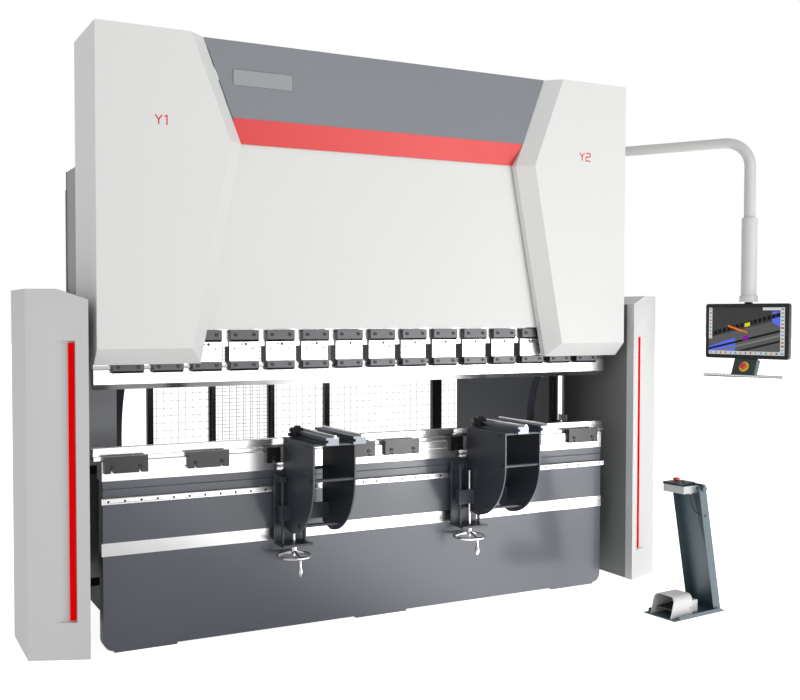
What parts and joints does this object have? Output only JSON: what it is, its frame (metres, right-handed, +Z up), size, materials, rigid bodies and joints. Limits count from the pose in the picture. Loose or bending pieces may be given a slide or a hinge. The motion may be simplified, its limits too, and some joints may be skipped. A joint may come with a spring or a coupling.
{
  "type": "press brake",
  "caption": "Hydraulic press brake with segmented punch clamping, front sheet supports, swing guards, rear fence, control pendant and foot pedestal.",
  "frame": {"origin": "on the floor, under the middle of the bend line", "axes": "+X along the bend line to the operator's right, -Y towards the operator, +Z up"},
  "size_m": [4.178, 2.636, 3.095],
  "materials": {
    "table_plate": "slate paint",
    "crowning_block": "ground steel",
    "die": "ground tool steel",
    "die_clamps": "blackened steel",
    "table_screws": "blackened screws",
    "support_rail": "hardened rail",
    "steel_band": "ground band",
    "left_side_frame": "slate paint",
    "right_side_frame": "slate paint",
    "frame_ties": "slate paint",
    "ram_guides": "machined steel",
    "left_front_cover": "satin light paint",
    "right_front_cover": "satin light paint",
    "upper_fascia": "grey paint",
    "red_band": "red paint",
    "hydraulic_cylinders": "grey paint",
    "hydraulic_unit": "grey paint",
    "fence_frame": "black paint",
    "side_panels": "light grey paint",
    "fence_mesh": "black paint",
    "electric_cabinet": "light grey paint",
    "backgauge_rails": "slate paint",
    "pendant_bracket": "grey paint",
    "pedestal_stand": "dark teal paint",
    "control_box": "grey box",
    "pedestal_cable": "black jacket",
    "pedal_guard": "white paint",
    "ram_plate": "satin light paint",
    "ram_front_panel": "satin light paint",
    "tool_holders": "ground steel",
    "tool_clamp_bars": "ground steel",
    "tool_clamp_screws": "blackened screws",
    "punch_bar": "ground tool steel",
    "piston_rods": "polished chrome",
    "left_guard": "light grey paint",
    "right_guard": "light grey paint",
    "rear_gate": "black paint",
    "cabinet_door": "light grey paint",
    "backgauge_beam": "anodised",
    "left_finger": "black finish",
    "right_finger": "black finish",
    "pendant_arm": "light paint",
    "hmi_housing": "dark shell",
    "hmi_glass": "glossy display",
    "hmi_console": "dark paint",
    "hmi_stop_button": "red plastic",
    "pedestal_stop_button": "red plastic",
    "pedal": "dark tread",
    "left_support_carriage": "dark paint",
    "left_support_bracket": "dark paint",
    "left_support_arms": "anodised",
    "left_support_stop": "black plastic",
    "left_handwheel": "polished",
    "left_wheel_handle": "polished",
    "right_support_carriage": "dark paint",
    "right_support_bracket": "dark paint",
    "right_support_arms": "anodised",
    "right_support_stop": "black plastic",
    "right_handwheel": "polished",
    "right_wheel_handle": "polished"
  },
  "bodies": {
    "machine": {"table_plate": "table_plate", "crowning_block": "crowning_block", "die": "die", "die_clamps": "die_clamps", "table_screws": "table_screws", "support_rail": "support_rail", "steel_band": "steel_band", "left_side_frame": "left_side_frame", "right_side_frame": "right_side_frame", "frame_ties": "frame_ties", "ram_guides": "ram_guides", "left_front_cover": "left_front_cover", "right_front_cover": "right_front_cover", "upper_fascia": "upper_fascia", "red_band": "red_band", "hydraulic_cylinders": "hydraulic_cylinders", "hydraulic_unit": "hydraulic_unit", "fence_frame": "fence_frame", "side_panels": "side_panels", "fence_mesh": "fence_mesh", "electric_cabinet": "electric_cabinet", "backgauge_rails": "backgauge_rails", "pendant_bracket": "pendant_bracket", "pedestal_stand": "pedestal_stand", "control_box": "control_box", "pedestal_cable": "pedestal_cable", "pedal_guard": "pedal_guard"},
    "ram": {"ram_plate": "ram_plate", "ram_front_panel": "ram_front_panel", "tool_holders": "tool_holders", "tool_clamp_bars": "tool_clamp_bars", "tool_clamp_screws": "tool_clamp_screws", "punch_bar": "punch_bar", "piston_rods": "piston_rods"},
    "left_guard": {"left_guard": "left_guard"},
    "right_guard": {"right_guard": "right_guard"},
    "rear_gate": {"rear_gate": "rear_gate"},
    "cabinet_door": {"cabinet_door": "cabinet_door"},
    "backgauge": {"backgauge_beam": "backgauge_beam"},
    "left_finger": {"left_finger": "left_finger"},
    "right_finger": {"right_finger": "right_finger"},
    "pendant": {"pendant_arm": "pendant_arm"},
    "hmi": {"hmi_housing": "hmi_housing", "hmi_glass": "hmi_glass", "hmi_console": "hmi_console"},
    "hmi_stop_button": {"hmi_stop_button": "hmi_stop_button"},
    "pedestal_stop_button": {"pedestal_stop_button": "pedestal_stop_button"},
    "pedal": {"pedal": "pedal"},
    "left_support_carriage": {"left_support_carriage": "left_support_carriage"},
    "left_support_bracket": {"left_support_bracket": "left_support_bracket", "left_support_arms": "left_support_arms"},
    "left_support_stop": {"left_support_stop": "left_support_stop"},
    "left_handwheel": {"left_handwheel": "left_handwheel"},
    "left_wheel_handle": {"left_wheel_handle": "left_wheel_handle"},
    "right_support_carriage": {"right_support_carriage": "right_support_carriage"},
    "right_support_bracket": {"right_support_bracket": "right_support_bracket", "right_support_arms": "right_support_arms"},
    "right_support_stop": {"right_support_stop": "right_support_stop"},
    "right_handwheel": {"right_handwheel": "right_handwheel"},
    "right_wheel_handle": {"right_wheel_handle": "right_wheel_handle"}
  },
  "joints": [
    {"name": "ram_slide", "type": "slide", "parent": "machine", "child": "ram", "axis": [0, 0, -1], "range_m": [0, 0.295]},
    {"name": "left_guard_hinge", "type": "hinge", "parent": "machine", "child": "left_guard", "pos_m": [-1.64, 0.495, 1], "axis": [0, 0, -1], "range_deg": [0, 90]},
    {"name": "right_guard_hinge", "type": "hinge", "parent": "machine", "child": "right_guard", "pos_m": [1.64, 0.495, 1], "axis": [0, 0, 1], "range_deg": [0, 90]},
    {"name": "rear_gate_slide", "type": "slide", "parent": "machine", "child": "rear_gate", "axis": [-1, 0, 0], "range_m": [0, 0.85]},
    {"name": "cabinet_door_hinge", "type": "hinge", "parent": "machine", "child": "cabinet_door", "pos_m": [-1.586, 0.629, 1.6], "axis": [0, 0, 1], "range_deg": [0, 90]},
    {"name": "backgauge_depth", "type": "slide", "parent": "machine", "child": "backgauge", "axis": [0, 1, 0], "range_m": [-0.07, 0.36]},
    {"name": "left_finger_slide", "type": "slide", "parent": "backgauge", "child": "left_finger", "axis": [1, 0, 0], "range_m": [-0.42, 0.42]},
    {"name": "right_finger_slide", "type": "slide", "parent": "backgauge", "child": "right_finger", "axis": [1, 0, 0], "range_m": [-0.42, 0.42]},
    {"name": "pendant_swing", "type": "hinge", "parent": "machine", "child": "pendant", "pos_m": [1.66, 0.144, 2.53], "axis": [0, 0, 1], "range_deg": [-20, 70]},
    {"name": "hmi_swivel", "type": "hinge", "parent": "pendant", "child": "hmi", "pos_m": [2.162, -0.69, 1.77], "axis": [0, 0, 1], "range_deg": [-60, 60]},
    {"name": "left_support_travel", "type": "slide", "parent": "machine", "child": "left_support_carriage", "axis": [1, 0, 0], "range_m": [-0.85, 0.35]},
    {"name": "left_support_lift", "type": "slide", "parent": "left_support_carriage", "child": "left_support_bracket", "axis": [0, 0, 1], "range_m": [-0.015, 0.06]},
    {"name": "left_handwheel_turn", "type": "hinge", "parent": "left_support_carriage", "child": "left_handwheel", "pos_m": [-0.577, -0.172, 0.418], "axis": [0, 0, 1], "range_deg": [-1090, 4330]},
    {"name": "left_handle_spin", "type": "hinge", "parent": "left_handwheel", "child": "left_wheel_handle", "pos_m": [-0.577, -0.26, 0.37], "axis": [0, 0, 1], "continuous": true},
    {"name": "left_stop_slide", "type": "slide", "parent": "left_support_bracket", "child": "left_support_stop", "axis": [0, -1, 0], "range_m": [-0.06, 0.36]},
    {"name": "right_support_travel", "type": "slide", "parent": "machine", "child": "right_support_carriage", "axis": [1, 0, 0], "range_m": [-0.35, 0.75]},
    {"name": "right_support_lift", "type": "slide", "parent": "right_support_carriage", "child": "right_support_bracket", "axis": [0, 0, 1], "range_m": [-0.015, 0.06]},
    {"name": "right_handwheel_turn", "type": "hinge", "parent": "right_support_carriage", "child": "right_handwheel", "pos_m": [0.512, -0.172, 0.418], "axis": [0, 0, 1], "range_deg": [-1090, 4330]},
    {"name": "right_handle_spin", "type": "hinge", "parent": "right_handwheel", "child": "right_wheel_handle", "pos_m": [0.512, -0.26, 0.37], "axis": [0, 0, 1], "continuous": true},
    {"name": "right_stop_slide", "type": "slide", "parent": "right_support_bracket", "child": "right_support_stop", "axis": [0, -1, 0], "range_m": [-0.06, 0.36]},
    {"name": "hmi_stop_press", "type": "slide", "parent": "hmi", "child": "hmi_stop_button", "axis": [0.8856, 0.2241, -0.4067], "range_m": [0, 0.006], "stiffness_N_per_m": 3000, "springref_m": -0.002},
    {"name": "pedestal_stop_press", "type": "slide", "parent": "machine", "child": "pedestal_stop_button", "axis": [0, 0, -1], "range_m": [0, 0.006], "stiffness_N_per_m": 3000, "springref_m": -0.002},
    {"name": "pedal_press", "type": "hinge", "parent": "machine", "child": "pedal", "pos_m": [1.52619, -0.81555, 0.044], "axis": [0.1045, -0.9945, 0], "range_deg": [0, 12], "stiffness_Nm_per_rad": 20, "springref_deg": -2.86}
  ],
  "couplings": [
    {"joint": "left_handwheel_turn", "follows": "left_support_lift", "rad_per_m": 1256.6},
    {"joint": "right_handwheel_turn", "follows": "right_support_lift", "rad_per_m": 1256.6}
  ]
}
